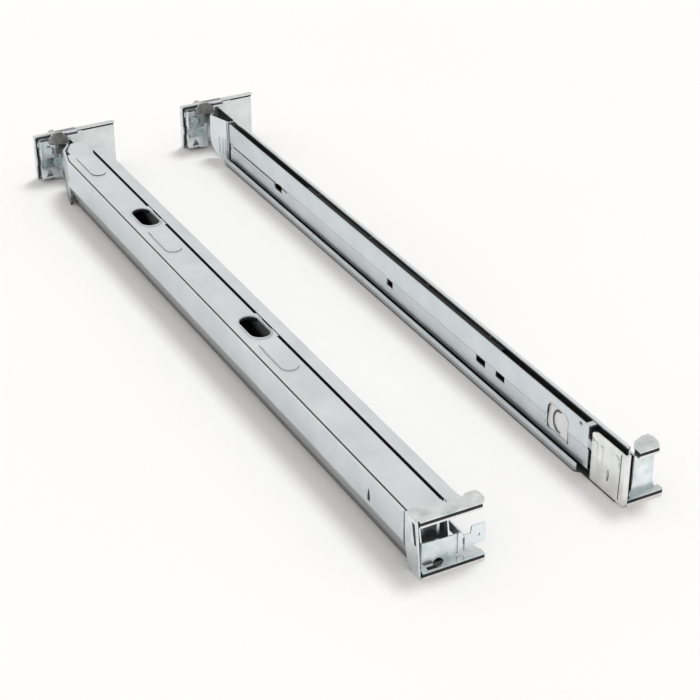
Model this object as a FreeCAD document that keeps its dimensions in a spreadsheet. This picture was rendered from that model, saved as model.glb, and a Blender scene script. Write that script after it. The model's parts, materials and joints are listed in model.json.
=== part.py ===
import FreeCAD, Part
import os
from math import cos, pi, radians, sin, tan
import Sketcher

# Pair of sliding rails for a server rack. X runs across the pair, Y towards the rack's rear, Z up.
# The origin is the centre of the pair's footprint. Lengths are in millimetres.
DIMENSIONS = {
    # whole pair
    "rail_height": 44,
    "front_to_plate": 722,
    "left_face": 106.2,
    "right_face": 62.25,
    "front_setback": 22,
    "rear_setback": 56,
    # sheet and ball slide section
    "gauge": 1.2,
    "slide_width": 10.5,
    "top_lip": 3,
    "curl_height": 7.4,
    "foot_reach": 3.6,
    "skirt_low": 6.4,
    "right_lead": 8,
    "ball_diameter": 4,
    "small_ball_diameter": 2.8,
    "ball_play": 0.1,
    "middle_gauge": 1.5,
    "middle_start": 1.8,
    "middle_web_gap": 0.7,
    "inner_flange_reach": 6.2,
    "joggle": 1,
    "crease_height": 23.5,
    "cage_gauge": 0.4,
    "strip_gauge": 1.2,
    "balls_per_row": 4,
    # support channel and side panel
    "slide_gap": 2.3,
    "channel_width": 25.85,
    "outer_flange": 10.5,
    "mounting_flange": 39,
    "panel_gap": 1.6,
    "oval_length": 36,
    "oval_width": 16,
    "first_oval": 292,
    "second_oval": 511,
    "tongue_length": 23,
    "pad_length": 50,
    "pad_width": 14,
    "emboss": 0.7,
    "bead_height": 19.6,
    "bead_inset": 5.75,
    "end_radius": 30,
    # rear bracket
    "left_plate_overhang": 8.55,
    "left_plate_width": 82,
    "right_plate_inset": 24.5,
    "right_plate_width": 77,
    "plate_rim": 4.6,
    "arm_clearance": 0.8,
    "arm_height": 27,
    "peg_radius": 4.5,
    "peg_length": 9,
    "peg_spacing": 31.75,
    "peg_offset": 22,
    "latch_radius": 10.2,
    "latch_centre": 21,
    "roll_radius": 10,
    "pivot_depth": 3.6,
    "pivot_height": 37,
    "housing_depth": 10.9,
    "housing_left": 2.75,
    "housing_right": 22,
    "pivot_radius": 1.5,
    "pivot_play": 0.06,
    # front brackets
    "lip_height": 5.2,
    "lip_cover": 0.8,
    "lip_base": 1.7,
    "lip_depth": 6,
    "top_lip_setback": 5,
    "right_top_setback": 4.2,
    "right_low_setback": 5.5,
}


class Size:
    """A number together with the spreadsheet formula that gives it."""

    def __init__(self, value, text):
        self.value = value
        self.text = text

    def __add__(self, other):
        other = size(other)
        return Size(self.value + other.value, f"({self.text} + {other.text})")

    def __sub__(self, other):
        other = size(other)
        return Size(self.value - other.value, f"({self.text} - {other.text})")

    def __mul__(self, other):
        other = size(other)
        return Size(self.value * other.value, f"({self.text} * {other.text})")

    def __truediv__(self, other):
        other = size(other)
        return Size(self.value / other.value, f"({self.text} / {other.text})")

    def __radd__(self, other):
        return size(other) + self

    def __rtruediv__(self, other):
        return size(other) / self

    def __rsub__(self, other):
        return size(other) - self

    def __rmul__(self, other):
        return size(other) * self

    def __neg__(self):
        return Size(-self.value, f"(0 - {self.text})")


def size(value):
    if isinstance(value, Size):
        return value
    return Size(float(value), repr(float(value)) if value >= 0 else f"(0 - {repr(float(-value))})")


doc = FreeCAD.newDocument("rail_pair")
sheet = doc.addObject("Spreadsheet::Sheet", "Sheet")
row = 0
for alias, number in DIMENSIONS.items():
    row += 1
    sheet.set(f"A{row}", alias)
    sheet.set(f"B{row}", str(number))
    sheet.setAlias(f"B{row}", alias)
doc.recompute()
D = {alias: Size(float(number), f"Sheet.{alias}") for alias, number in DIMENSIONS.items()}

AXIS = {"XY_Plane": "z", "XZ_Plane": "y", "YZ_Plane": "x"}
PARTS = []


def bind(thing, path, value):
    thing.setExpression(path, size(value).text)


def place(thing, x, y, z, flip=False):
    """Put a piece at its corner. A flipped piece is turned half way round about Y."""
    turn = FreeCAD.Rotation(FreeCAD.Vector(0, 1, 0), 180 if flip else 0)
    corner = [size(x), size(y), size(z)]
    thing.Placement = FreeCAD.Placement(FreeCAD.Vector(*[c.value for c in corner]), turn)
    for axis, c in zip("xyz", corner):
        bind(thing, f"Placement.Base.{axis}", c)


def new_body(name, x, y, z, flip=False):
    body = doc.addObject("PartDesign::Body", name)
    body.Label = name
    place(body, x, y, z, flip)
    PARTS.append(body)
    return body


def origin_plane(body, role):
    return [f for f in body.Origin.OriginFeatures if f.Role == role][0]


def new_sketch(body, plane, start):
    sketch = body.newObject("Sketcher::SketchObject", "Sketch")
    sketch.AttachmentSupport = (origin_plane(body, plane), "")
    sketch.MapMode = "FlatFace"
    offset = size(start) if plane != "XZ_Plane" else -size(start)
    sketch.AttachmentOffset = FreeCAD.Placement(FreeCAD.Vector(0, 0, offset.value), FreeCAD.Rotation())
    bind(sketch, "AttachmentOffset.Base.z", offset)
    return sketch


def pin_point(sketch, geometry, point, position):
    """Fix one sketch point at a position measured from the sketch's origin."""
    for kind, coordinate, axis in (("DistanceX", position[0], -2), ("DistanceY", position[1], -1)):
        coordinate = size(coordinate)
        if abs(coordinate.value) < 1e-9:
            sketch.addConstraint(Sketcher.Constraint("PointOnObject", geometry, point, axis))
        else:
            number = sketch.addConstraint(
                Sketcher.Constraint(kind, -1, 1, geometry, point, coordinate.value)
            )
            bind(sketch, f"Constraints[{number}]", coordinate)


def flat(position):
    return FreeCAD.Vector(size(position[0]).value, size(position[1]).value, 0)


def outline(sketch, points):
    """A closed line through the points."""
    first = sketch.GeometryCount
    count = len(points)
    for n in range(count):
        sketch.addGeometry(Part.LineSegment(flat(points[n]), flat(points[(n + 1) % count])), False)
    for n in range(count):
        sketch.addConstraint(
            Sketcher.Constraint("Coincident", first + n, 2, first + (n + 1) % count, 1)
        )
    for n in range(count):
        pin_point(sketch, first + n, 1, points[n])


def circle(sketch, centre, radius):
    radius = size(radius)
    number = sketch.addGeometry(Part.Circle(flat(centre), FreeCAD.Vector(0, 0, 1), radius.value), False)
    pin_point(sketch, number, 3, centre)
    constraint = sketch.addConstraint(Sketcher.Constraint("Radius", number, radius.value))
    bind(sketch, f"Constraints[{constraint}]", radius)


def oblong(sketch, centre, length, width):
    """A slot with round ends, long along the sketch's second axis."""
    radius = size(width) / 2
    reach = (size(length) - width) / 2
    low = (centre[0], centre[1] - reach)
    high = (centre[0], centre[1] + reach)
    up = FreeCAD.Vector(0, 0, 1)
    a, b = flat(low), flat(high)
    side = FreeCAD.Vector(radius.value, 0, 0)
    g = sketch.GeometryCount
    sketch.addGeometry(Part.ArcOfCircle(Part.Circle(a, up, radius.value), pi, 2 * pi), False)
    sketch.addGeometry(Part.LineSegment(a + side, b + side), False)
    sketch.addGeometry(Part.ArcOfCircle(Part.Circle(b, up, radius.value), 0, pi), False)
    sketch.addGeometry(Part.LineSegment(b - side, a - side), False)
    for n in range(4):
        sketch.addConstraint(Sketcher.Constraint("Tangent", g + n, 2, g + (n + 1) % 4, 1))
    pin_point(sketch, g, 3, low)
    pin_point(sketch, g + 2, 3, high)
    sketch.addConstraint(Sketcher.Constraint("Equal", g, g + 2))
    constraint = sketch.addConstraint(Sketcher.Constraint("Radius", g, radius.value))
    bind(sketch, f"Constraints[{constraint}]", radius)


def shape_sketch(body, plane, start, shapes):
    sketch = new_sketch(body, plane, start)
    for kind, *values in shapes:
        {"outline": outline, "circle": circle, "oblong": oblong}[kind](sketch, *values)
    return sketch


def add(body, plane, start, length, *shapes):
    """Material from start to start + length along the plane's axis."""
    sketch = shape_sketch(body, plane, start, shapes)
    feature = body.newObject("PartDesign::Pad", "Pad")
    feature.Profile = sketch
    feature.Reversed = plane == "XZ_Plane"
    feature.Length = size(length).value
    bind(feature, "Length", length)
    return feature


def cut(body, plane, start, length, *shapes):
    """Remove material from start to start + length along the plane's axis."""
    doc.recompute()
    before = body.Shape.Volume
    sketch = shape_sketch(body, plane, start, shapes)
    feature = body.newObject("PartDesign::Pocket", "Pocket")
    feature.Profile = sketch
    feature.Reversed = plane != "XZ_Plane"
    feature.Length = size(length).value
    bind(feature, "Length", length)
    doc.recompute()
    if body.Shape.Volume >= before - 1e-6:
        raise RuntimeError(f"{body.Label}: a cut removed nothing")
    return feature


def rectangle(a0, b0, a1, b1):
    return ("outline", [(a0, b0), (a1, b0), (a1, b1), (a0, b1)])


def repeat(body, feature, plane, direction, length, count):
    """Repeat a feature along one of the sketch's axes."""
    pattern = body.newObject("PartDesign::LinearPattern", "LinearPattern")
    pattern.Originals = [feature]
    pattern.Direction = (feature.Profile[0], [direction])
    pattern.Length = size(length).value
    bind(pattern, "Length", length)
    pattern.Occurrences = count
    body.Tip = pattern
    return pattern


def arc(x, y, radius, first, last, steps):
    """Points of an arc about x, y, from one angle in degrees to another."""
    angles = [radians(first + (last - first) * n / steps) for n in range(steps + 1)]
    return [(x + radius * cos(angle), y + radius * sin(angle)) for angle in angles]


def octagon(x, y, reach):
    """Corners of an eight-sided pocket whose flats are at that reach from its centre."""
    return arc(x, y, reach / cos(pi / 8), 22.5, 337.5, 7)


def end_curve(far, bottom, radius):
    """An end's lower corner as an outline to cut away, so that the end is rounded from below."""
    return ("outline", [(far, bottom)] + arc(far - radius, bottom + radius, radius, -90, 0, 6))


height = D["rail_height"]
gauge = D["gauge"]
width = D["slide_width"]
total = D["front_to_plate"] + D["peg_length"]
front = -total / 2
body_front = front + D["front_setback"]
body_length = D["front_to_plate"] - D["front_setback"] - D["rear_setback"]
plate_rear = front + D["front_to_plate"]

# ball slide heights, from the closed edge
ball = D["ball_diameter"]
play = D["ball_play"]
middle_low = gauge + ball + 2 * play
middle_high = height - middle_low
small = D["small_ball_diameter"]
middle_end = width - gauge - D["middle_web_gap"]
inner_low = middle_low + D["middle_gauge"] + small + 2 * play
inner_high = middle_high - D["middle_gauge"] - small - 2 * play
outer_row_low = (gauge + ball / 2 + play, D["middle_start"] + 3.1)
outer_row_high = (height - gauge - ball / 2 - play, width - gauge - ball / 2 - play)
inner_row = D["middle_start"] + 2.7
inner_row_low = inner_low - small / 2 - play
inner_row_high = inner_high + small / 2 + play

middle_front = 4
middle_length = body_length - 16
inner_front = 28
inner_length = body_length - inner_front - 7
cage_front = 152
cage_length = 328
ball_pitch = (cage_length - 40) / (D["balls_per_row"] - 1)


def along(front_distance):
    """Distance from the body's front end, for a place measured from the front lips."""
    return front_distance - D["front_setback"]


def slide(side, x, z, flip):
    """The ball-bearing slide: outer, middle and inner members, two cages and their balls."""
    right = side == "right"
    lead = D["right_lead"] if right else size(0)
    foot = D["foot_reach"] if right else size(0)
    curl = D["curl_height"]
    outer = new_body(f"{side}_outer_member", x, body_front - lead, z, flip)
    inside = width - gauge
    outer_length = body_length + lead
    add(outer, "XZ_Plane", 0, outer_length, ("outline", [
        (-foot, 0), (width, 0), (width, height), (width - D["top_lip"], height),
        (width - D["top_lip"], height - gauge), (inside, height - gauge), (inside, gauge),
        (gauge - foot, gauge), (gauge - foot, curl), (-foot, curl)]))
    if right:
        cut(outer, "XY_Plane", -0.1, curl + 0.2, ("outline", [
            (-foot - 0.1, -0.1), (0, -0.1), (0, lead + 34), (-foot - 0.1, lead + 38)]))
    cut(outer, "YZ_Plane", -foot - 0.1, gauge + 0.2, end_curve(outer_length, 0, curl - gauge))

    middle = new_body(f"{side}_middle_member", x, body_front + middle_front - lead, z, flip)
    start, thick = D["middle_start"], D["middle_gauge"]
    add(middle, "XZ_Plane", 0, middle_length + lead, ("outline", [
        (start, middle_low), (middle_end, middle_low), (middle_end, middle_high), (start, middle_high),
        (start, middle_high - thick), (middle_end - thick, middle_high - thick),
        (middle_end - thick, middle_low + thick), (start, middle_low + thick)]))

    inner = new_body(f"{side}_inner_member", x, body_front + inner_front, z, flip)
    step, crease, reach = D["joggle"], D["crease_height"], D["inner_flange_reach"]
    edge = height - 0.6 if right else height - D["lip_height"] - 0.6
    skirt = [(step, D["skirt_low"]), (step + 0.5, D["skirt_low"]), (step + 0.5, inner_low)]
    add(inner, "XZ_Plane", 0, inner_length, ("outline", (skirt if right else [(step, inner_low)]) + [
        (reach, inner_low), (reach, inner_low + gauge), (step + gauge, inner_low + gauge),
        (step + gauge, crease), (gauge, crease + step), (gauge, inner_high - gauge),
        (reach, inner_high - gauge), (reach, inner_high), (gauge, inner_high), (gauge, edge), (0, edge),
        (0, crease + step), (step, crease)]))
    near = along(0) - inner_front
    deep = step + gauge + 0.1
    cut(inner, "YZ_Plane", 0, deep,
        ("outline", [(near + 548, 16.5), (near + 562, 16.5), (near + 564, 20), (near + 552, 24.5), (near + 548, 24.5)]),
        rectangle(near + 338, 16.5, near + 348, 22.5),
        rectangle(near + 191, 17, near + 204.5, 23),
        rectangle(near + 163, 18, near + 175.5, 23.5))
    cut(inner, "YZ_Plane", 0, deep,
        ("outline", [(near + 75, 13), (near + 104, 13), (near + 106, 16), (near + 103, 32), (near + 99, 36.5),
                     (near + 78, 36.5), (near + 75, 33)]))
    if right:
        cut(inner, "YZ_Plane", 0, gauge + 0.1, ("circle", (near + 60, 40.2), 1.8))
        add(inner, "XY_Plane", edge - gauge, gauge, rectangle(0, 0, 7, 5))
        cut(inner, "YZ_Plane", 0, deep, rectangle(inner_length - 122, 21, inner_length - 6, 22.4))
        cut(inner, "YZ_Plane", 0, step + 0.4, rectangle(inner_length - 110, 17.4, inner_length + 1, 18.8))

    outer_cage = new_body(f"{side}_outer_cage", x, body_front + cage_front, z, flip)
    cage_back = (middle_end + inside + D["cage_gauge"]) / 2
    cage_face = cage_back - D["cage_gauge"]
    half = D["strip_gauge"] / 2
    low, high = outer_row_low[0], outer_row_high[0]
    add(outer_cage, "XZ_Plane", 0, cage_length, ("outline", [
        (outer_row_low[1] - 3.2, low - half), (cage_back, low - half), (cage_back, high + half),
        (outer_row_high[1] - 3.2, high + half), (outer_row_high[1] - 3.2, high - half),
        (cage_face, high - half), (cage_face, low + half), (outer_row_low[1] - 3.2, low + half)]))
    for centre, level, deep in ((outer_row_low[1], low, half), (outer_row_high[1], high, ball / 2)):
        pocket = cut(outer_cage, "XY_Plane", level - deep - 0.1, deep + half + 0.2,
                     ("outline", octagon(centre, 20, ball / 2 + play)))
        repeat(outer_cage, pocket, "XY_Plane", "V_Axis", cage_length - 40, int(D["balls_per_row"].value))

    inner_cage = new_body(f"{side}_inner_cage", x, body_front + cage_front, z, flip)
    back = middle_end - thick - 0.2
    low, high = inner_row_low, inner_row_high
    add(inner_cage, "XZ_Plane", 0, cage_length, ("outline", [
        (inner_row - 2.2, low - half), (back, low - half), (back, high + half), (inner_row - 2.2, high + half),
        (inner_row - 2.2, high - half), (back - 0.5, high - half), (back - 0.5, low + half),
        (inner_row - 2.2, low + half)]))
    for level in (low, high):
        pocket = cut(inner_cage, "XY_Plane", level - half - 0.1, D["strip_gauge"] + 0.2,
                     ("outline", octagon(inner_row, 20, small / 2 + play)))
        repeat(inner_cage, pocket, "XY_Plane", "V_Axis", cage_length - 40, int(D["balls_per_row"].value))

    rows = [(f"{side}_outer_balls", ball / 2, [(outer_row_low[1], outer_row_low[0]),
                                               (outer_row_high[1], outer_row_high[0])]),
            (f"{side}_inner_balls", small / 2, [(inner_row, inner_row_low), (inner_row, inner_row_high)])]
    sign = -1 if flip else 1
    for name, radius, tracks in rows:
        balls = []
        for across, up in tracks:
            for n in range(int(D["balls_per_row"].value)):
                balls.append(faceted_ball(radius, x + sign * across,
                                          body_front + cage_front + 20 + n * ball_pitch, z + sign * up))
        compound(name, balls)


def compound(name, pieces):
    """Several separate solids as one named part."""
    group = doc.addObject("Part::Compound", name)
    group.Label = name
    group.Links = pieces
    PARTS.append(group)
    return group


def block(x0, y0, z0, x1, y1, z1):
    """A box between two corners."""
    box = doc.addObject("Part::Box", "Box")
    for path, low, high in (("Length", x0, x1), ("Width", y0, y1), ("Height", z0, z1)):
        bind(box, path, size(high) - low)
    place(box, x0, y0, z0)
    return box


def lay(thing, x, y, z, axis, spin=0):
    """Lay a piece that is drawn upright along an axis, from a point, turned about itself by a spin."""
    turn = {"x": FreeCAD.Rotation(FreeCAD.Vector(0, 1, 0), 90),
            "y": FreeCAD.Rotation(FreeCAD.Vector(1, 0, 0), -90),
            "z": FreeCAD.Rotation()}[axis]
    corner = [size(x), size(y), size(z)]
    turn = turn * FreeCAD.Rotation(FreeCAD.Vector(0, 0, 1), spin)
    thing.Placement = FreeCAD.Placement(FreeCAD.Vector(*[c.value for c in corner]), turn)
    for letter, c in zip("xyz", corner):
        bind(thing, f"Placement.Base.{letter}", c)
    return thing


def rod(x, y, z, radius, length, axis):
    """A round bar that starts at a point and runs along an axis."""
    bar = doc.addObject("Part::Cylinder", "Rod")
    bind(bar, "Radius", radius)
    bind(bar, "Height", length)
    return lay(bar, x, y, z, axis)


def flat_bar(sides, x, y, z, across_flats, length, axis):
    """A bar with that many flat sides, which starts at a point and runs along an axis."""
    bar = doc.addObject("Part::Prism", "FlatBar")
    bar.Polygon = sides
    bind(bar, "Circumradius", size(across_flats) / (2 * cos(pi / sides)))
    bind(bar, "Height", length)
    return lay(bar, x, y, z, axis, 180 / sides)


def fused(bars):
    union = doc.addObject("Part::MultiFuse", "Fused")
    union.Shapes = bars
    return union


def faceted_ball(radius, x, y, z):
    """A ball as the common part of three eight-sided bars, which keeps its mesh light."""
    common = doc.addObject("Part::MultiCommon", "Ball")
    common.Shapes = [flat_bar(8, x - radius, y, z, 2 * radius, 2 * radius, "x"),
                     flat_bar(8, x, y - radius, z, 2 * radius, 2 * radius, "y"),
                     flat_bar(8, x, y, z - radius, 2 * radius, 2 * radius, "z")]
    return common


stud_places = (60, 250, 440, 610)
channel_start = width + D["slide_gap"]
channel_end = channel_start + D["channel_width"]


def support_channel(side, x, z, flip):
    """The folded channel that carries the slide, with its ovals and embossed pads."""
    emboss = D["emboss"]
    body = new_body(f"{side}_channel", x, body_front, z - emboss if flip else z + emboss, flip)
    add(body, "XZ_Plane", 0, body_length, ("outline", [
        (channel_start, 0), (channel_end, 0), (channel_end, D["outer_flange"]),
        (channel_end - gauge, D["outer_flange"]), (channel_end - gauge, gauge),
        (channel_start + gauge, gauge), (channel_start + gauge, D["mounting_flange"]),
        (channel_start, D["mounting_flange"])]))
    tongue_rear = body_length + D["tongue_length"]
    add(body, "XY_Plane", 0, gauge, ("outline", [
        (channel_start, body_length - 1), (channel_end - 6, body_length - 1), (channel_end - 6, body_length + 8),
        (channel_end - 12, body_length + 19), (channel_end - 14.5, tongue_rear), (channel_start, tongue_rear)]))
    cut(body, "XY_Plane", -1, D["outer_flange"] + 2, ("outline", [
        (channel_end, body_length - 14), (channel_end + 0.5, body_length - 14), (channel_end + 0.5, body_length + 0.5),
        (channel_end - 3, body_length + 0.5)]))
    centre = channel_start + gauge + D["oval_width"] / 2
    for place_along in (D["first_oval"], D["second_oval"]):
        middle = along(place_along)
        rim = D["oval_width"] + 2 * gauge
        add(body, "XY_Plane", 0, gauge + 1.2, ("oblong", (centre, middle), D["oval_length"] + 2 * gauge, rim))
        cut(body, "XY_Plane", -1, gauge + 4, ("oblong", (centre, middle), D["oval_length"], D["oval_width"]))
        add(body, "XY_Plane", 0, gauge, rectangle(width, middle - 20, channel_start + 0.2, middle - 8),
            rectangle(width, middle + 10, channel_start + 0.2, middle + 20))
    pads = (along(D["first_oval"]) - 47, along(D["second_oval"]) - 47, along(D["second_oval"]) + 124)
    for middle in pads:
        pad = ("oblong", (centre + 2.3, middle), D["pad_length"], D["pad_width"])
        add(body, "XY_Plane", -emboss, emboss + 0.2, pad)
    level = height / 2 - emboss
    holes = [rectangle(distance - 2.6, level - 2.6, distance + 2.6, level + 2.6) for distance in stud_places]
    cut(body, "YZ_Plane", channel_start - 0.1, gauge + 0.2, *holes)

    sign = -1 if flip else 1
    studs = []
    for distance in stud_places:
        level = z + sign * height / 2
        spots = ((width, D["slide_gap"], 3.6), (channel_start, gauge, 2), (channel_start + gauge, 0.5, 3.6))
        bars = []
        for across, thick, radius in spots:
            begin = x + across if not flip else x - across - thick
            bars.append(flat_bar(6, begin, body_front + distance, level, 2 * radius, thick, "x"))
        studs.append(fused(bars))
    compound(f"{side}_spacer_studs", studs)

    bumper_x = (x + 2.6, x + width - gauge) if not flip else (x - width + gauge, x - 2.6)
    rear = body_front + body_length
    compound(f"{side}_stop_bumper", [
        block(bumper_x[0], rear - 6.5, 14, bumper_x[1], rear - 1.5, 30)])


panel_x = -D["left_face"]
left_x = panel_x + gauge + D["panel_gap"] + channel_end
right_x = D["right_face"]
slide("left", left_x, height, True)
slide("right", right_x, size(0), False)
support_channel("left", left_x, height, True)
support_channel("right", right_x, size(0), False)

# side panel of the left rail, with its inclined lower band and a rear end that bends inwards
panel = new_body("left_side_panel", panel_x, body_front, 0)
bead, inset = D["bead_height"], D["bead_inset"]
panel_top = height - 0.2
add(panel, "XZ_Plane", 0, body_length - 15, ("outline", [
    (0, bead), (inset, 0), (inset + 5, 0), (inset + 5, gauge), (inset + 0.9, gauge), (gauge, bead + 0.3),
    (gauge, panel_top), (0, panel_top)]))
add(panel, "XY_Plane", 0, panel_top, ("outline", [
    (0, body_length - 16), (gauge, body_length - 16), (gauge + 0.2, body_length - 14.5),
    (gauge + 5.6, body_length + 10), (14.8, body_length + 21.6), (13.9, body_length + 22.4), (5.4, body_length + 11.2),
    (0, body_length - 14.5)]))
cut(panel, "YZ_Plane", -1, 16, end_curve(body_length + 23, 0, D["end_radius"]))
cut(panel, "YZ_Plane", -1, 4, ("outline", [
    (along(69), 22), (along(72.5), 22), (along(72.5), 26), (along(70.5), 33.5), (along(69), 27)]))
spacer_x = panel_x + gauge
compound("left_panel_spacers", [
    block(spacer_x, body_front + d, height - 9.5, spacer_x + D["panel_gap"], body_front + d + 14, height - 5.5)
    for d in (20, 170, 320, 470, 600)])


def rear_bracket(side, plate_x, plate_width, arm_x, arm_inward):
    """The rear plate on its sliding arm, with pegs, latch housing, latch lever, pin and spring."""
    rear = plate_rear
    rim = D["plate_rim"]
    peg = D["peg_offset"]
    peg_levels = [height / 2 - D["peg_spacing"] / 2, height / 2 + D["peg_spacing"] / 2]
    plate = new_body(f"{side}_rear_plate", plate_x, rear - rim, 0)
    add(plate, "XY_Plane", 0, height, ("outline", [
        (0, 0), (gauge, 0), (gauge, rim - gauge), (plate_width, rim - gauge), (plate_width, rim), (0, rim)]))
    add(plate, "XZ_Plane", 0, rim, rectangle(0, height - gauge, plate_width, height))
    add(plate, "YZ_Plane", 0, gauge, ("outline", [(0.1, 14.5), (0.1, 24.5), (-1.8, 23), (-1.8, 16)]))
    cut(plate, "XZ_Plane", rim - gauge - 0.1, gauge + 0.2,
        *[("outline", octagon(peg, level, 2.2)) for level in peg_levels])

    liner = new_body(f"{side}_rear_liner", plate_x + 3, rear - 3 * gauge, 0)
    add(liner, "XZ_Plane", 0, gauge, rectangle(0, 1, plate_width - 4, height - gauge - 2))
    cut(liner, "XZ_Plane", -0.1, gauge + 0.2,
        *[("outline", octagon(peg - 3, level, 2.2)) for level in peg_levels])

    pegs = []
    peg_x = plate_x + peg
    for level in peg_levels:
        head = rear - 3 * gauge - 1
        pegs.append(fused([
            rod(peg_x, rear, level, D["peg_radius"], D["peg_length"], "y"),
            flat_bar(6, peg_x, head, level, 3.6, 3 * gauge + 1, "y"),
            flat_bar(6, peg_x, rear - 2 * gauge, level, 6.4, gauge, "y"),
            flat_bar(6, peg_x, head, level, 6.4, 1, "y")]))
    compound(f"{side}_rear_pegs", pegs)

    arm_start = body_front + 250
    house_rear = rear - 3 * gauge
    arm_length = house_rear - arm_start
    low = (height - D["arm_height"]) / 2
    arm = new_body(f"{side}_rear_arm", arm_x, arm_start, 0)
    arm_width = 14
    web = size(0) if arm_inward else arm_width - gauge
    add(arm, "XZ_Plane", 0, arm_length, rectangle(web, low, web + gauge, low + D["arm_height"]))
    add(arm, "XZ_Plane", 0, arm_length - D["rear_setback"], rectangle(0, low, arm_width, low + gauge))
    add(arm, "XZ_Plane", arm_length - gauge, gauge, rectangle(web + 0.2, low + 1, web + 14, height - 2))

    # sheet-metal housing: two front faces with a gap between, side walls and a back sheet
    deep = D["housing_depth"]
    left, right = D["housing_left"], D["housing_right"]
    house = new_body(f"{side}_latch_housing", plate_x, house_rear - deep, 0)
    add(house, "XZ_Plane", 0, gauge, ("outline", [
        (left, 24), (right, 24), (right, 34.5), (16, 36.6), (11.5, 38), (9.6, 41.5), (left + 1.2, 41.5), (left, 39.5)]))
    add(house, "XZ_Plane", 0, gauge, ("outline", [
        (left - 1, 4), (right - 9, 4), (right - 7, 2.4), (right, 2), (right, 15), (left, 15), (left - 1, 14)]))
    add(house, "YZ_Plane", left, gauge, ("outline", [
        (0, 4), (deep, 4), (deep, 41), (0, 41), (0, 24), (4, 22), (4, 16.5), (0, 15)]))
    add(house, "YZ_Plane", right - gauge, gauge, rectangle(-1.4, 2, deep, 26))
    add(house, "XY_Plane", 24, gauge, rectangle(left, 0, right, deep))
    add(house, "XY_Plane", 15 - gauge, gauge, rectangle(left, 0, right, deep))
    ear = D["latch_centre"] + D["latch_radius"] + 0.3
    add(house, "XZ_Plane", deep - gauge, gauge, ("outline", [
        (left, 3), (right, 3), (right, 28), (ear + gauge, 28), (ear + gauge, 41), (ear - 3, 41), (ear - 3, 33), (left, 33)]))
    add(house, "YZ_Plane", ear, gauge, ("outline", [
        (deep - 0.1, 30), (deep - 0.1, 41), (deep - 6, 41), (deep - 8, 38), (deep - 8, 35), (deep - 5, 30)]))
    ring = (9.4, 31.4)
    add(house, "XZ_Plane", -0.9, 1, ("outline", arc(*ring, 3.4, 0, 330, 11)))
    cut(house, "XZ_Plane", -1, 0.7, ("outline", arc(*ring, 2, 0, 300, 5)))
    for first, last in ((105, 55), (40, -35)):
        slot = arc(*ring, 5.8, first, last, 3) + arc(*ring, 4.3, last, first, 3)
        cut(house, "XZ_Plane", -0.1, gauge + 0.2, ("outline", slot))
    cut(house, "XZ_Plane", -0.1, gauge + 0.2, ("outline", [(6, 5.6), (13, 5.6), (11, 11), (8.6, 12.2)]))
    cut(house, "XZ_Plane", deep - gauge - 0.1, gauge + 0.2, ("outline", octagon(peg, peg_levels[0], 3.8)))

    pivot_y = house_rear - D["pivot_depth"]
    pivot_z = D["pivot_height"]
    pivot = (deep - D["pivot_depth"], pivot_z)
    cut(house, "YZ_Plane", left - 0.1, gauge + 0.2, ("outline", octagon(*pivot, D["pivot_radius"] + 0.2)))
    cut(house, "YZ_Plane", ear - 0.1, gauge + 0.2, ("outline", octagon(*pivot, D["pivot_radius"] + 0.2)))
    pin_left = plate_x + left
    compound(f"{side}_rear_latch_pin", [fused([
        flat_bar(8, pin_left - 0.9, pivot_y, pivot_z, 5, 0.9, "x"),
        rod(pin_left - 0.9, pivot_y, pivot_z, D["pivot_radius"], ear + gauge - left + 1.6, "x"),
        flat_bar(8, plate_x + ear + gauge, pivot_y, pivot_z, 4.6, 0.7, "x")])])

    # lever: a round front disc, a rolled hood above the pin and two ears on the pin
    radius = D["latch_radius"]
    centre = D["latch_centre"]
    roll = D["roll_radius"]
    sheet_thick = 1.5
    latch = new_body(f"{side}_rear_latch", plate_x, pivot_y, 0)
    disc_y = -5
    disc = arc(centre, pivot_z + 0.8, radius, 180, 0, 12)
    add(latch, "XZ_Plane", disc_y, sheet_thick, ("outline", disc + [
        (centre + radius, pivot_z - 0.6), (centre + radius - 1, pivot_z - 1.6), (centre - radius + 1, pivot_z - 1.6),
        (centre - radius, pivot_z - 0.6)]))
    hood_left = centre - 0.5
    hood_right = centre + 19.6
    split = centre + 8.7

    def hood(first):
        return ("outline", arc(0, pivot_z, roll, first, 60, 8) + arc(0, pivot_z, roll - sheet_thick, 60, first, 8))

    add(latch, "YZ_Plane", hood_left, split - hood_left + 0.1, hood(119))
    add(latch, "YZ_Plane", split, hood_right - split, hood(146))
    bore = ("circle", (size(0), pivot_z), D["pivot_radius"] + D["pivot_play"])
    for ear_left, top in ((centre - 6.4, 3.6), (ear - gauge - 0.5, roll - 0.8)):
        add(latch, "YZ_Plane", ear_left, gauge, ("outline", [
            (disc_y + 0.5, pivot_z - 1.6), (0, pivot_z - 2.3), (1.6, pivot_z - 1.6), (2.1, pivot_z + 1),
            (1, pivot_z + top), (disc_y + 0.5, pivot_z + top - 1.6)]))
        cut(latch, "YZ_Plane", ear_left - 0.1, gauge + 0.2, bore)

    spring = new_body(f"{side}_rear_latch_spring", plate_x, pivot_y, pivot_z)
    leaf_front = disc_y + sheet_thick
    add(spring, "YZ_Plane", centre - 1.8, 3.6, ("outline", [
        (leaf_front, 3.4), (0, 3), (1.6, 3.7), (2.1, 4.9), (1.7, 5), (1.3, 4.2), (-0.3, 3.5), (leaf_front, 3.9)]))


arm_offset = channel_start + gauge + D["arm_clearance"]
rear_bracket("left", panel_x - D["left_plate_overhang"], D["left_plate_width"], left_x - arm_offset - 14, False)
rear_bracket("right", right_x - D["right_plate_inset"], D["right_plate_width"], right_x + arm_offset, True)


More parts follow.
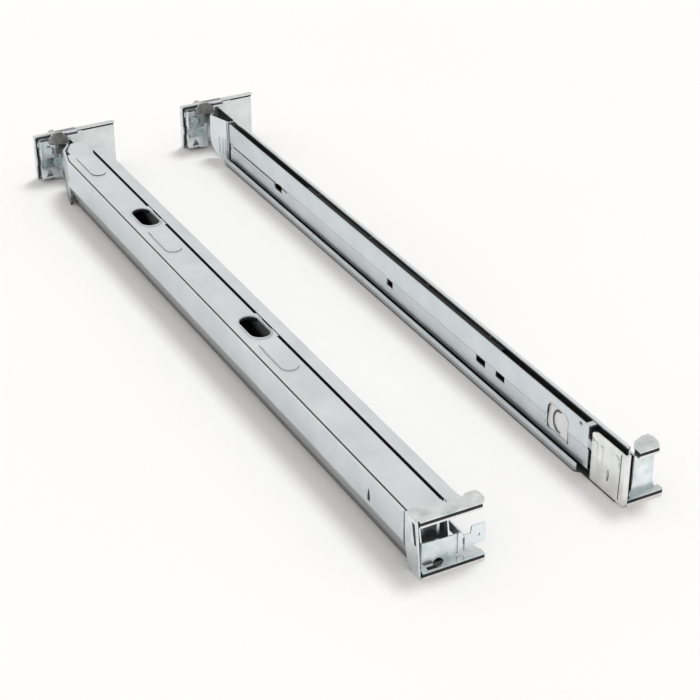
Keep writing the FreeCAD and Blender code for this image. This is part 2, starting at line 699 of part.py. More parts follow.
def lip_pair(body, top_span, low_span, top_front, low_front):
    """The two folded lips of a front bracket, which open forwards, at its top and bottom."""
    lip, cover, base, deep = D["lip_height"], D["lip_cover"], D["lip_base"], D["lip_depth"]
    top = height
    y0, y1 = top_front, low_front
    add(body, "YZ_Plane", top_span[0], top_span[1] - top_span[0], ("outline", [
        (y0, top - cover), (y0, top), (y0 + deep, top), (y0 + deep, top - lip), (y0, top - lip),
        (y0, top - lip + base), (y0 + deep - 1, top - lip + base), (y0 + deep - 1, top - cover)]))
    add(body, "YZ_Plane", low_span[0], low_span[1] - low_span[0], ("outline", [
        (y1, 0), (y1 + deep, 0), (y1 + deep, lip), (y1, lip), (y1, lip - cover),
        (y1 + deep - 1, lip - cover), (y1 + deep - 1, base), (y1, base)]))


def lip_strips(side, x, top_span, low_span, top_front, low_front):
    """The black strips that fill both lips."""
    lip, cover, base, deep = D["lip_height"], D["lip_cover"], D["lip_base"], D["lip_depth"] - 1
    y0, y1 = front + top_front + 0.1, front + low_front + 0.1
    compound(f"{side}_lip_strips", [
        block(x + top_span[0], y0, height - lip + base, x + top_span[1], y0 + deep - 0.1, height - cover),
        block(x + low_span[0], y1, base, x + low_span[1], y1 + deep - 0.1, lip - cover)])


def front_latch(side, x, y, low, mirrored):
    """A hooked lever that turns on an upright pin, with its leaf spring."""
    span = 16
    tall = 12

    def across(points):
        return [((span - a) if mirrored else a, b) for a, b in points]

    latch = new_body(f"{side}_front_latch", x, y, low)
    hub = across([(3, 7.5)])[0]
    add(latch, "XY_Plane", 0, tall, ("circle", hub, 2.6))
    add(latch, "XY_Plane", 0, tall, ("outline", across([
        (3, 8.4), (11.8, 8.4), (13.2, 5), (12.2, 1.6), (14.2, 1.6), (15.4, 5), (14, 10), (3, 10)])))
    cut(latch, "XY_Plane", -0.1, tall + 0.2, ("circle", hub, D["pivot_radius"] + D["pivot_play"]))
    spring = new_body(f"{side}_front_latch_spring", x, y, low + 3)
    add(spring, "XY_Plane", 0, 6, ("outline", across([
        (4, 10), (8, 10), (10.6, 12.6), (10.2, 13), (7.7, 10.5), (4, 10.5)])))
    pin_low = size(1)
    pin_top = height - D["lip_cover"]
    compound(f"{side}_front_latch_pin", [fused([
        rod(x + hub[0], y + hub[1], pin_low, D["pivot_radius"], pin_top - pin_low, "z"),
        flat_bar(8, x + hub[0], y + hub[1], pin_low, 4.6, 1, "z"),
        flat_bar(8, x + hub[0], y + hub[1], pin_top - 1, 4.6, 1, "z")])])


# front bracket of the left rail: lips at top and bottom, a low web plate and a slotted side flange
setback = D["front_setback"]
cover = D["lip_cover"]
bracket_x = panel_x + 0.25
bracket = new_body("left_front_bracket", bracket_x, front, 0)
top_front = D["top_lip_setback"]
low_front = size(0)
lip_span = (2.5, 51.5)
lip_pair(bracket, lip_span, lip_span, top_front, low_front)
gap_x = left_x - channel_start - bracket_x
slide_x = left_x - width - bracket_x
add(bracket, "XY_Plane", height - cover, cover, ("outline", [
    (2.5, top_front), (51.4, top_front), (54, 7.5), (55.6, 10.5), (56, 15), (55.4, 18.5), (54, 20.5), (46.8, 20.5),
    (42.7, 17.8), (slide_x + width, setback), (slide_x, setback), (slide_x, 17.5), (gap_x, 17.5), (gap_x, setback),
    (2.5, setback)]))
add(bracket, "XY_Plane", 0, 1, ("outline", [
    (51, 1), (53.6, 4), (54.6, 9), (52, 16), (43, setback), (2.5, setback), (2.5, 5.5), (40, 5.5), (40, 1)]))
web_y = D["lip_depth"]
add(bracket, "XZ_Plane", web_y, gauge, ("outline", [
    (4.6, 0.5), (32.2, 0.5), (32.2, 23.6), (4.6, 25)]))
cut(bracket, "XZ_Plane", web_y - 0.1, gauge + 0.2, ("outline", [(13.6, 5.3), (22.6, 5.3), (20.4, 8.2), (17.4, 9.6), (14.2, 8)]))
cut(bracket, "XY_Plane", D["lip_height"] - cover - 0.1, cover + 0.2, rectangle(7.5, 1.4, 15, web_y - 1))
wall_x = gap_x - 2 * gauge
add(bracket, "YZ_Plane", wall_x, gauge, ("outline", [
    (web_y + 0.5, 0.5), (46, 6), (46, 35), (18, 35), (12, height - 0.5), (11, height - 0.5), (web_y + 0.5, 20)]))
add(bracket, "YZ_Plane", 4.1, gauge, ("outline", [
    (web_y + 0.5, 0.5), (setback, 0.5), (setback, height - 0.5), (11, height - 0.5), (web_y + 0.5, 22)]))
add(bracket, "YZ_Plane", 0, gauge, ("outline", [
    (0.4, 0), (12, 0), (16, 4), (20.4, 20), (21.3, height), (5.6, height)]))
cut(bracket, "YZ_Plane", -0.1, gauge + 0.2, ("outline", [(5.2, 26.5), (7.6, 26.5), (10.6, 41.5), (8.4, 41.5)]))
add(bracket, "XY_Plane", height - cover, cover, rectangle(gauge - 0.2, 7, 2.7, 21))
add(bracket, "XY_Plane", 0, 1, rectangle(gauge - 0.2, 1, 2.7, 14))
lip_strips("left", bracket_x, (2.8, 51.2), (2.8, 51.2), top_front, low_front)
front_latch("left", bracket_x + 7.7, front + 10.6, size(24), False)

# front tab that closes the left rail's inner member
tab = new_body("left_front_tab", left_x - 2 * gauge, front + 6.2, 0)
add(tab, "YZ_Plane", 0, gauge, rectangle(0, 11.6, 76.2, 19.2))
add(tab, "XZ_Plane", 0, gauge, ("outline", [
    (-5.6, 6.2), (-1.8, 6.2), (-1.8, 19), (-0.2, 19), (-0.2, 7.5), (2.6, 10), (15.9, 10.5), (16.3, 12), (16.3, 25),
    (15.7, 26), (5.3, 26), (4.5, 20.5), (-1.8, 20.5), (-1.8, 23.5), (-5.6, 23.5)]))
cut(tab, "XZ_Plane", -0.1, gauge + 0.2, ("outline", octagon(size(10.8), size(17.7), 1.2)))

# flared guide that closes the right rail's rear end, with three ribs
guide = new_body("right_rear_guide", right_x - 10, body_front + body_length - gauge, 0)
guide_wall = 10 + width - gauge
flare = [(12.6, gauge), (10.4, 8), (7.6, 17), (4.6, 25.2), (3.4, 24.7), (6.4, 16.5), (9.2, 7.6), (10.2, 1.5), (11.4, 1.4)]
add(guide, "XY_Plane", gauge, height - 2 * gauge, ("outline", [
    (11.4, 0), (guide_wall, 0), (guide_wall, gauge)] + flare))
cut(guide, "YZ_Plane", -0.1, 12, end_curve(size(26), gauge, size(22)))
for rib_x, rib_y in ((9.9, 4), (9, 8.4), (7.7, 12.8)):
    add(guide, "XY_Plane", 7, 17, rectangle(rib_x - 0.7, rib_y - 0.8, rib_x + 0.5, rib_y + 0.8))

# front bracket of the right rail
bracket_x = right_x - 3.5
bracket = new_body("right_front_bracket", bracket_x, front, 0)
top_front, low_front = D["right_top_setback"], D["right_low_setback"]
top_span, low_span = (14.8, 32.2), (8.4, 39.5)
lip_pair(bracket, top_span, low_span, top_front, low_front)
add(bracket, "XY_Plane", 0, 1, rectangle(14.4, low_front + 5.5, 39.5, setback))
add(bracket, "XY_Plane", height - cover, cover, ("outline", [
    (14.8, top_front + 1), (32.1, top_front + 1), (34.5, 8), (35.6, 12), (35.8, 18), (34.5, 21.5), (29, 21.8),
    (20, 18), (16.5, 14), (14.8, 11)]))
add(bracket, "XY_Plane", 0, 1.2, ("outline", [(9, 8.6), (3, 9), (0.4, 9.6), (2, 10.8), (9, 11)]))
web_y = low_front + D["lip_depth"] - 1
add(bracket, "XZ_Plane", web_y, gauge, ("outline", [
    (8.4, 0.5), (39, 0.5), (37, 4.6), (34.5, 7), (33.4, 12), (32.4, height - 0.5), (15.8, height - 0.5), (15.5, 16), (15, 9),
    (13, 5.4), (10.4, 3), (8.4, 1.6)]))
wall_x = right_x + channel_start + gauge - bracket_x
add(bracket, "YZ_Plane", wall_x, gauge, rectangle(web_y, gauge + D["emboss"], 46, 35))
lip_strips("right", bracket_x, (15, 32), (8.7, 39.2), top_front, low_front)
front_latch("right", right_x + 16.4, front + 11.8, size(14), True)

# embossed handle that carries the right rail's inner member forward
handle = new_body("right_front_handle", right_x, front + 5, 0)
foot_z = size(1.5)
arm_low, arm_high = inner_high - 9, inner_high - 2
add(handle, "XY_Plane", foot_z, height - 0.4 - foot_z, ("outline", [
    (0.2, 0), (0.2, 40), (1.2, 44.5), (1.2, 60), (2.4, 60), (2.4, 44.2), (1.4, 39.6), (1.4, gauge),
    (4.6, gauge), (4.6, 0)]))
cut(handle, "YZ_Plane", 0, 3, rectangle(40.4, foot_z - 1, 61, arm_low), rectangle(40.4, arm_high, 61, height))
cut(handle, "YZ_Plane", 0, 3, ("outline", [(34, height), (39, 42), (42.5, 39), (46, 34), (46, height)]))
for where, level, tall, wide in ((36, 29, 15, 5), (28.5, 28, 17, 3.4), (22, 14, 9, 5), (11, 33, 12, 8)):
    slope = 0.3 * wide
    dimple = [(where - wide / 2, level - tall / 2 + slope), (where, level - tall / 2),
              (where + wide / 2, level - tall / 2 + slope), (where + wide / 2, level + tall / 2 - slope),
              (where, level + tall / 2), (where - wide / 2, level + tall / 2 - slope)]
    add(handle, "YZ_Plane", -0.5, 0.9, ("outline", dimple))

doc.recompute()
os.makedirs("parts", exist_ok=True)
for thing in doc.Objects:
    if "Invalid" in thing.State or "Error" in thing.State:
        raise RuntimeError(f"{thing.Name} failed: {thing.State}")
for thing in PARTS:
    shape = thing.Shape
    if shape.isNull() or not shape.isValid():
        raise RuntimeError(f"{thing.Label} has a bad shape")
    shape.exportStep(f"parts/{thing.Label}.step")
    print(thing.Label, len(shape.Solids), [round(v, 1) for v in (
        shape.BoundBox.XMin, shape.BoundBox.XMax, shape.BoundBox.YMin, shape.BoundBox.YMax,
        shape.BoundBox.ZMin, shape.BoundBox.ZMax)])
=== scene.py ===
import math

import bpy
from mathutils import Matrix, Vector
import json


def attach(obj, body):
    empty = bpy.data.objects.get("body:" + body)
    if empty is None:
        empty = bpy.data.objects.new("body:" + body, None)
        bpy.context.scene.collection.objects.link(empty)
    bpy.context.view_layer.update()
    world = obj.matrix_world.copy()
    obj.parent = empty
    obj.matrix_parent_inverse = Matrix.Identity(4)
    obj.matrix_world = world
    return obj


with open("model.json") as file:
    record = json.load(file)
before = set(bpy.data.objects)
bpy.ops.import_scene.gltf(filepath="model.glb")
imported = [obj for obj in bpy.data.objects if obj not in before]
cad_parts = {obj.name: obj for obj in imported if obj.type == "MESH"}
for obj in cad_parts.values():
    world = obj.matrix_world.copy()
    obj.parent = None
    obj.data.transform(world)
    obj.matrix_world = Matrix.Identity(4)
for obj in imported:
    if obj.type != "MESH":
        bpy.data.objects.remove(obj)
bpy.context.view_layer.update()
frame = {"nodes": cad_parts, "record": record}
nodes = frame["nodes"]
slots = {s["node"]: s["material_slot"] for s in frame["record"]["subparts"]}

SIDES = ("left", "right")
MM = 1000  # millimetres in a metre

# Places and sizes of the solids that the pieces made here sit against, in millimetres
FRONT = -365.5  # front edge of the lips
SERVER_FACE = -64.75  # the left rail's face towards the server
CHANNEL_START = 12.8  # width of the ball slide and of the gap behind it
GAUGE = 1.2  # thickness of the channel's sheet
OVAL_WIDTH = 16
OVALS_FROM_FRONT = (292, 511)


# Materials

RAMP_HEIGHT = 50  # millimetres above the floor that a ramp by height covers
CLOUD_EDGES = (0.3, 0.7)  # values of a texture at which the two colours are pure
CLOUD_DETAIL = 4
LINES_SCALE, LINES_DETAIL, LINES_STRETCH, LINES_DEPTH = 420, 2, (1, 0.02, 1), 0.00003
GRAIN_SCALE, GRAIN_DETAIL, GRAIN_DEPTH = 160, 5, 0.00004
ZINC_RELIEF, GRAIN_RELIEF = 0.25, 0.4  # strength of the relief


def new_material(name):
    material = bpy.data.materials.new(name)
    material.use_nodes = True
    tree = material.node_tree
    return material, tree, tree.nodes["Principled BSDF"]


def noise(tree, scale, detail, stretch=(1, 1, 1)):
    """Noise in object coordinates, which are metres in the part's own frame."""
    place = tree.nodes.new("ShaderNodeTexCoord")
    mapping = tree.nodes.new("ShaderNodeMapping")
    mapping.inputs["Scale"].default_value = stretch
    texture = tree.nodes.new("ShaderNodeTexNoise")
    texture.inputs["Scale"].default_value = scale
    texture.inputs["Detail"].default_value = detail
    tree.links.new(place.outputs["Object"], mapping.inputs["Vector"])
    tree.links.new(mapping.outputs["Vector"], texture.inputs["Vector"])
    return texture


def ramp(tree, value, marks):
    """Colours that follow a value, from pairs of the value and the colour there."""
    node = tree.nodes.new("ShaderNodeValToRGB")
    steps = node.color_ramp.elements
    for n, (place, colour) in enumerate(marks):
        step = steps[n] if n < 2 else steps.new(1)
        step.position = place
        step.color = (*colour, 1)
    tree.links.new(value, node.inputs["Fac"])
    return node.outputs["Color"]


def blend(tree, texture, low, high):
    """Two colours blended by a texture."""
    return ramp(tree, texture.outputs["Fac"], zip(CLOUD_EDGES, (low, high)))


def spread(tree, texture, low, high):
    """A number between low and high that follows a texture."""
    node = tree.nodes.new("ShaderNodeMapRange")
    node.inputs["To Min"].default_value = low
    node.inputs["To Max"].default_value = high
    tree.links.new(texture.outputs["Fac"], node.inputs["Value"])
    return node.outputs["Result"]


def bump(tree, shader, texture, distance, strength):
    node = tree.nodes.new("ShaderNodeBump")
    node.inputs["Distance"].default_value = distance
    node.inputs["Strength"].default_value = strength
    tree.links.new(texture.outputs["Fac"], node.inputs["Height"])
    tree.links.new(node.outputs["Normal"], shader.inputs["Normal"])


def heights(tree, marks):
    """Greys by height above the floor, from pairs of millimetres and grey."""
    place = tree.nodes.new("ShaderNodeTexCoord")
    split = tree.nodes.new("ShaderNodeSeparateXYZ")
    scale = tree.nodes.new("ShaderNodeMath")
    scale.operation = "MULTIPLY"
    scale.inputs[1].default_value = MM / RAMP_HEIGHT
    tree.links.new(place.outputs["Object"], split.inputs["Vector"])
    tree.links.new(split.outputs["Z"], scale.inputs[0])
    greys = [(level / RAMP_HEIGHT, (grey, grey, grey)) for level, grey in marks]
    return ramp(tree, scale.outputs["Value"], greys)


def multiply(tree, first, second):
    node = tree.nodes.new("ShaderNodeMix")
    node.data_type = "RGBA"
    node.blend_type = "MULTIPLY"
    node.inputs["Factor"].default_value = 1
    tree.links.new(first, node.inputs["A"])
    tree.links.new(second, node.inputs["B"])
    return node.outputs["Result"]


def zinc(name, low, high, rough=(0.28, 0.46), metallic=0.9, cloud=34, wave=None, marks=None):
    """Zinc plate with soft clouds, and with faint lines along the rail or a stamping's waves; marks
    multiply in painted shade and painted highlight bands by height.
    """
    material, tree, shader = new_material(name)
    clouds = noise(tree, cloud, CLOUD_DETAIL)
    colour = blend(tree, clouds, low, high)
    # painted shade and painted highlight: greys by height darken bands and keep lit lines bright
    if marks:
        colour = multiply(tree, colour, heights(tree, marks))
    tree.links.new(colour, shader.inputs["Base Color"])
    tree.links.new(spread(tree, clouds, *rough), shader.inputs["Roughness"])
    shader.inputs["Metallic"].default_value = metallic
    if wave:
        bump(tree, shader, clouds, wave, ZINC_RELIEF)
    else:
        lines = noise(tree, LINES_SCALE, LINES_DETAIL, LINES_STRETCH)
        bump(tree, shader, lines, LINES_DEPTH, ZINC_RELIEF)
    return material


def plain(name, low, high, rough, metallic=0.0):
    """A surface with a fine grain."""
    material, tree, shader = new_material(name)
    grain = noise(tree, GRAIN_SCALE, GRAIN_DETAIL)
    tree.links.new(blend(tree, grain, low, high), shader.inputs["Base Color"])
    tree.links.new(spread(tree, grain, *rough), shader.inputs["Roughness"])
    shader.inputs["Metallic"].default_value = metallic
    bump(tree, shader, grain, GRAIN_DEPTH, GRAIN_RELIEF)
    return material


# Painted shade and painted highlight on folds, by height: millimetres above the floor, and grey
PANEL_PAINTED_LIGHT = [
    (0, 0.03), (1.8, 0.06), (2.6, 0.34), (5.2, 0.40), (6, 0.20), (7, 0.20), (8, 0.60),
    (11.4, 0.62), (12.2, 0.32), (13, 0.32), (14, 0.66), (18.2, 0.70), (18.9, 1), (20.2, 1),
    (20.8, 0.84), (43, 0.80), (43.5, 1)]
SERVER_FACE_PAINTED_LIGHT = [
    (0, 0.5), (7, 1), (9.5, 1), (12, 0.9), (22.8, 0.86), (23.3, 0.36), (24.1, 0.36),
    (24.7, 0.9), (44, 0.86)]
FOOT_PAINTED_LIGHT = [(0, 0.06), (0.9, 0.12), (1.4, 0.5), (3.6, 0.62), (5.4, 0.95), (7.4, 1), (44, 1)]
LATCH_PAINTED_LIGHT = [
    (0, 0.8), (43.6, 1), (44.2, 0.08), (45.2, 0.12), (45.6, 1), (46.5, 1), (46.9, 0.3),
    (47.3, 0.4), (47.6, 1)]

# Finish of each slot
dull, bright = (0.76, 0.82, 0.85), (0.89, 0.935, 0.965)
finish = {"zinc_sheet": zinc("zinc_sheet", dull, bright)}
for slot, *look in (
    # darker and lighter colour, range of roughness, metallic
    ("black_coat", (0.006, 0.007, 0.008), (0.014, 0.015, 0.017), (0.45, 0.65), 0),
    ("black_rubber", (0.010, 0.011, 0.012), (0.022, 0.023, 0.025), (0.6, 0.8), 0),
    ("cage_plastic", (0.010, 0.010, 0.012), (0.02, 0.02, 0.024), (0.5, 0.7), 0),
    # ball steel kept near black: painted shade for the balls seen in the gap
    ("ball_steel", (0.05, 0.052, 0.055), (0.08, 0.082, 0.086), (0.3, 0.45), 1),
    ("spring_steel", (0.40, 0.41, 0.43), (0.52, 0.53, 0.55), (0.25, 0.4), 1),
    ("turned_steel", (0.5, 0.52, 0.54), (0.64, 0.66, 0.68), (0.2, 0.36), 1),
):
    finish[slot] = plain(slot, *look)

# Finish of single faces and of the pieces made here: painted shade, painted highlight, painted
# shade lines, and the disc
# painted shade: near-black zinc for faces and sheets in narrow gaps
shade = plain("zinc_in_shade", (0.008, 0.010, 0.011), (0.016, 0.019, 0.020), (0.6, 0.8))
# painted highlight: near-white for lit edges and the lit face in the window
edge_highlight = plain("zinc_edge_highlight", (0.86, 0.87, 0.87), (0.92, 0.93, 0.93), (0.3, 0.45), 0.2)
# painted shade: dark zinc for the walls of the pads and the lines along folds and arcs
crease_shade = plain("zinc_crease_shade", (0.10, 0.115, 0.12), (0.20, 0.22, 0.225), (0.4, 0.6), 0.6)
# painted shade: grey zinc for the line along each pad's edge
pad_edge_shade = plain("zinc_pad_edge_shade", (0.40, 0.43, 0.44), (0.50, 0.53, 0.54), (0.3, 0.5), 0.7)
disc = zinc("zinc_disc", (0.40, 0.395, 0.375), (0.62, 0.62, 0.60), rough=(0.2, 0.4),
            metallic=0.7, cloud=140, wave=0.0005)

# Finish of single nodes
stamped = zinc("zinc_stamped", (0.60, 0.67, 0.685), (0.90, 0.94, 0.955), rough=(0.12, 0.30),
               cloud=95, wave=0.0018)
plate = zinc("zinc_plate", (0.68, 0.72, 0.72), (0.84, 0.87, 0.87), rough=(0.18, 0.38),
             metallic=0.85, cloud=60, wave=0.001)
# latch zinc with painted shade stripes by height
latch = zinc("zinc_latch_painted_light", dull, bright, rough=(0.14, 0.3), metallic=0.92, marks=LATCH_PAINTED_LIGHT)
own = {
    # zinc with painted shade and painted highlight bands by height
    "left_side_panel": zinc("zinc_panel_painted_light", dull, bright, marks=PANEL_PAINTED_LIGHT),
    "right_inner_member": zinc("zinc_server_face_painted_light", dull, bright, marks=SERVER_FACE_PAINTED_LIGHT),
    "right_outer_member": zinc("zinc_foot_painted_light", dull, bright, marks=FOOT_PAINTED_LIGHT),
    "right_front_handle": zinc("zinc_handle", (0.72, 0.745, 0.735), (0.97, 0.97, 0.955),
                               rough=(0.14, 0.34), metallic=0.75, cloud=75, wave=0.0016),
}
for side in SIDES:
    own.update({
        f"{side}_front_bracket": stamped,
        f"{side}_latch_housing": stamped,
        f"{side}_rear_plate": plate,
        f"{side}_rear_liner": plate,
        f"{side}_rear_latch": latch,
        # spacer studs in painted shade
        f"{side}_spacer_studs": shade,
    })


# Nodes: finish, soft edges and smooth balls

EDGE_WIDTH = 0.00025  # metres
SHARP = math.radians(40)  # edges with a larger angle are softened

for name, thing in nodes.items():
    thing.data.materials.clear()
    thing.data.materials.append(own.get(name, finish[slots[name]]))
    if slots[name] == "ball_steel":
        for face in thing.data.polygons:
            face.use_smooth = True
    else:
        edge = thing.modifiers.new("Edge", "BEVEL")
        edge.width = EDGE_WIDTH
        edge.segments = 2
        edge.limit_method = "ANGLE"
        edge.angle_limit = SHARP


# Faces with another finish

SQUARE = 0.9  # a face looks along an axis when that share of its normal is larger
STEEP = 0.3  # a face is a wall when the upright share of its normal is smaller


def across(normal):
    return abs(normal.x) > SQUARE


def to_left(normal):
    return normal.x < -SQUARE


def to_front(normal):
    return normal.y < -SQUARE


def wall(normal):
    return abs(normal.z) < STEEP


def paint(name, material, test):
    """Gives a finish to a node's faces that a test on middle, in millimetres, and normal picks."""
    mesh = nodes[name].data
    mesh.materials.append(material)
    for face in mesh.polygons:
        if test(face.center * MM, face.normal):
            face.material_index = len(mesh.materials) - 1


# painted shade inside the narrow gaps of the left rail, and on the walls of its pads and of its
# ovals
paint("left_side_panel", shade, lambda p, n: n.x > SQUARE and p.x < -104)
paint("left_channel", shade, lambda p, n: across(n) and (p.x < -103 or -78 < p.x < -77))
paint("left_channel", crease_shade, lambda p, n: wall(n) and 43.2 < p.z < 44 and -102 < p.x < -79)
paint("left_channel", shade,
      lambda p, n: wall(n) and 38 < p.z < 43 and -98 < p.x < -78 and abs(n.x) < 0.99)
paint("left_outer_member", shade, lambda p, n: to_left(n) and p.x < -75)
paint("left_front_bracket", shade, lambda p, n: across(n) and -103 < p.x < -100)

# painted shade inside the narrow gaps of the right rail
paint("right_channel", shade, lambda p, n: to_left(n) and 74.8 < p.x < 75.2)
paint("right_outer_member", shade, lambda p, n: across(n) and 71 < p.x < 73)

# painted highlight on the front edges of the lips, painted shade in the gap in each rear plate, the
# round disc and the arm's front face
for side in SIDES:
    paint(f"{side}_front_bracket", edge_highlight,
          lambda p, n: to_front(n) and p.y < -355 and (p.z < 1.8 or 38.7 < p.z < 40.6))
    paint(f"{side}_rear_plate", shade, lambda p, n: to_front(n) and p.y > 354)
    paint(f"{side}_rear_latch", disc, lambda p, n: to_front(n) and p.y < 344.6)
    paint(f"{side}_rear_arm", plate, lambda p, n: to_front(n) and p.y > 340)


# Pieces made here, in millimetres

def new_object(name, data):
    thing = bpy.data.objects.new(name, data)
    bpy.context.scene.collection.objects.link(thing)
    return thing


def tube(name, points, radius, material, body, closed=True):
    """A round bead along a closed or open line of points, which moves with a body."""
    curve = bpy.data.curves.new(name, "CURVE")
    curve.dimensions = "3D"
    curve.bevel_depth = radius / MM
    curve.bevel_resolution = 2
    line = curve.splines.new("POLY")
    line.points.add(len(points) - 1)
    line.use_cyclic_u = closed
    for spot, place in zip(line.points, points):
        spot.co = (*(c / MM for c in place), 1)
    source = new_object(name, curve)
    depsgraph = bpy.context.evaluated_depsgraph_get()
    mesh = bpy.data.meshes.new_from_object(source.evaluated_get(depsgraph))
    bpy.data.objects.remove(source)
    piece = new_object(name, mesh)
    mesh.materials.clear()
    mesh.materials.append(material)
    for face in mesh.polygons:
        face.use_smooth = True
    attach(piece, body)


def flat(name, corners, material):
    """One flat face through points."""
    mesh = bpy.data.meshes.new(name)
    points = [[c / MM for c in corner] for corner in corners]
    mesh.from_pydata(points, [], [range(len(corners))])
    mesh.materials.append(material)
    return new_object(name, mesh)


def sheet(name, corners, material, body):
    """One flat face through points, which moves with a body."""
    piece = flat(name, corners, material)
    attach(piece, body)


def oblong(x, y, z, length, width):
    """Points round an oblong that runs along Y."""
    steps = 10  # of each half circle
    points = []
    for sign in (1, -1):
        for n in range(steps + 1):
            angle = math.pi * n / steps
            points.append((x + sign * width / 2 * math.cos(angle),
                           y + sign * ((length - width) / 2 + width / 2 * math.sin(angle)), z))
    return points


# window of the right inner member: a raised boss in painted highlight, a bead round it and two arcs
# on it in painted shade
WINDOW = [  # Y and Z of the boss
    (-289.5, 14), (-287, 13.2), (-264, 13.2), (-261, 16), (-262.5, 31), (-266, 35.5),
    (-286, 35.5), (-289.5, 32)]
BOSS_X, ARC_X = 64.4, 64
UPPER_X, LOWER_X, GROOVE_Z = 62.3, 63.2, 23  # the member's face above and below its groove
sheet("window_boss_highlight", [(BOSS_X, y, z) for y, z in WINDOW], edge_highlight, "right_inner")
STRETCH_Y, SHIFT_Y, STRETCH_Z, BOSS_Z, BEAD_Z = 1.004, 1.1, 1.1, 24, 24.5
bead = [(UPPER_X if z > GROOVE_Z else LOWER_X, y * STRETCH_Y + SHIFT_Y,
         (z - BOSS_Z) * STRETCH_Z + BEAD_Z) for y, z in WINDOW]
tube("window_rim", bead, 0.45, stamped, "right_inner")
ARC_Y, ARC_SHIFT, ARC_Z, ARC_HEIGHT, ARC_STEPS = -275, 3, 24.5, 9, 10
for n, reach in enumerate((6, 9)):
    arc = [(ARC_X, ARC_Y + reach * math.sin(t * math.pi / ARC_STEPS) - ARC_SHIFT * n,
            ARC_Z + ARC_HEIGHT * math.cos(t * math.pi / ARC_STEPS)) for t in range(ARC_STEPS + 1)]
    tube(f"window_arc_shade_{n}", arc, 0.55, crease_shade, "right_inner", closed=False)

# painted shade lines along the folds on the right front handle
HANDLE_X = 62.45
FOLDS = [  # Y and Z
    [(-320.8, 37), (-323.2, 35), (-324.4, 31), (-324.2, 26), (-322.6, 21)],
    [(-331, 36), (-332.6, 33), (-333.4, 29), (-333, 24)],
    [(-355.4, 42), (-355.2, 22), (-354.8, 4)],
    [(-341, 21), (-342.2, 17), (-341.4, 12)]]
for n, fold in enumerate(FOLDS):
    points = [(HANDLE_X, y, z) for y, z in fold]
    tube(f"handle_fold_shade_{n}", points, 0.4, crease_shade, "right_inner", closed=False)

# painted shade: dark sheets in the slot in the flange of the left front bracket, and in the gap
# beside the side panel
FLANGE_X = -106
SLOT = [(5, 25), (7.8, 25), (11.4, 41.5), (8, 41.5)]  # distance from the front, and Z
sheet("flange_slot_shade", [(FLANGE_X, FRONT + y, z) for y, z in SLOT], shade, "rack_side")
GAP = [(-105, -343), (-103.4, -343), (-103.4, 284), (-105, 284)]  # X and Y
GAP_Z = 43.5
sheet("panel_gap", [(x, y, GAP_Z) for x, y in GAP], shade, "rack_side")

# painted shade along the edge of the pad in front of each oval, and the oval's raised rim
PAD_SHIFT, PAD_DISTANCE = 2.3, 65  # from the oval's centre, to the left and to the front
PAD_RADIUS, PAD_LENGTH, PAD_Z = 7.2, 28, 43.3
PAD_ARC = range(180, 331, 15)  # degrees round the pad's end
RIM_LENGTH, RIM_WIDTH, RIM_Z = 38, 18.4, 43.7
oval_x = SERVER_FACE - CHANNEL_START - GAUGE - OVAL_WIDTH / 2
for n, distance in enumerate(OVALS_FROM_FRONT):
    oval_y = FRONT + distance
    pad_x, pad_end = oval_x - PAD_SHIFT, oval_y - PAD_DISTANCE
    pad_edge = [(pad_x - PAD_RADIUS, pad_end + PAD_LENGTH, PAD_Z)] + [
        (pad_x + PAD_RADIUS * math.cos(math.radians(a)),
         pad_end + PAD_RADIUS * math.sin(math.radians(a)), PAD_Z)
        for a in PAD_ARC]
    tube(f"pad_edge_{n}", pad_edge, 0.75, pad_edge_shade, "rack_side", closed=False)
    rim = oblong(oval_x, oval_y, RIM_Z, RIM_LENGTH, RIM_WIDTH)
    tube(f"oval_rim_{n}", rim, 0.8, stamped, "rack_side")


# Floor, light and camera

FLOOR_HALF = 6000  # millimetres
FLOOR_CLOUD, FLOOR_CLOUD_DETAIL, FLOOR_ROUGHNESS, FLOOR_SPECULAR = 3, 2, 0.9, 0.1
FLOOR_DARK, FLOOR_LIGHT = (0.918, 0.914, 0.913), (0.928, 0.924, 0.923)
HORIZON, ZENITH, SKY_STRENGTH = (1, 0.965, 0.925), (0.89, 0.865, 0.84), 0.79
ZENITH_FROM = 0.9  # upright share of the direction from which the sky has its upper colour
SUN_FROM, SUN_STRENGTH, SUN_SPREAD, SUN_COLOUR = (1.1, 0.7, 2.6), 1.36, 20, (0.93, 0.972, 1)
FOCAL_PIXELS, PICTURE_PIXELS, SENSOR = 1851, 700, 36  # the sensor in millimetres
HEADING, PITCH = math.radians(28.2), math.radians(30.49)
CAMERA_AT = (-0.61475, -1.2160, 0.7626)


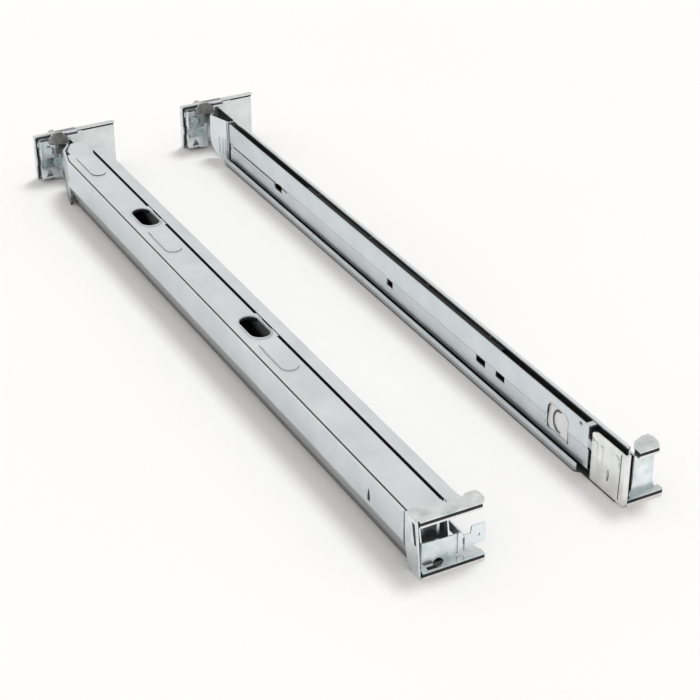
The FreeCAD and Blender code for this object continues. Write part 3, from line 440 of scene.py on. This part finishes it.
def stage_plane():
    material, tree, shader = new_material("floor")
    clouds = noise(tree, FLOOR_CLOUD, FLOOR_CLOUD_DETAIL)
    tree.links.new(blend(tree, clouds, FLOOR_DARK, FLOOR_LIGHT), shader.inputs["Base Color"])
    shader.inputs["Roughness"].default_value = FLOOR_ROUGHNESS
    shader.inputs["Specular IOR Level"].default_value = FLOOR_SPECULAR
    corners = [(x * FLOOR_HALF, y * FLOOR_HALF, 0) for x, y in ((-1, -1), (1, -1), (1, 1), (-1, 1))]
    floor = flat("floor", corners, material)


def world_light():
    """A pale sky that grows darker towards the zenith."""
    world = bpy.data.worlds.new("studio")
    bpy.context.scene.world = world
    world.use_nodes = True
    tree = world.node_tree
    background = tree.nodes["Background"]
    place = tree.nodes.new("ShaderNodeTexCoord")
    split = tree.nodes.new("ShaderNodeSeparateXYZ")
    tree.links.new(place.outputs["Generated"], split.inputs["Vector"])
    sky = ramp(tree, split.outputs["Z"], ((0, HORIZON), (ZENITH_FROM, ZENITH)))
    tree.links.new(sky, background.inputs["Color"])
    background.inputs["Strength"].default_value = SKY_STRENGTH


def soft_sun():
    """A broad light from one side, whose own image doesn't show in the metal."""
    light = bpy.data.lights.new("key", "SUN")
    light.energy = SUN_STRENGTH
    light.angle = math.radians(SUN_SPREAD)
    light.color = SUN_COLOUR
    lamp = new_object("key", light)
    lamp.rotation_euler = (-Vector(SUN_FROM)).to_track_quat("-Z", "Y").to_euler()
    lamp.visible_glossy = False


def set_camera():
    """The photo's view, from a perspective fit."""
    camera_data = bpy.data.cameras.new("camera")
    camera_data.lens = FOCAL_PIXELS / PICTURE_PIXELS * SENSOR
    camera_data.sensor_width = SENSOR
    camera_data.clip_start = 0.05
    camera_data.clip_end = 50
    camera = new_object("camera", camera_data)
    level = math.cos(PITCH)
    looking = Vector((math.sin(HEADING) * level, math.cos(HEADING) * level, -math.sin(PITCH)))
    camera.location = CAMERA_AT
    camera.rotation_euler = looking.to_track_quat("-Z", "Y").to_euler()
    bpy.context.scene.camera = camera


stage_plane()
world_light()
soft_sun()
set_camera()
bpy.context.scene.view_settings.view_transform = "Standard"
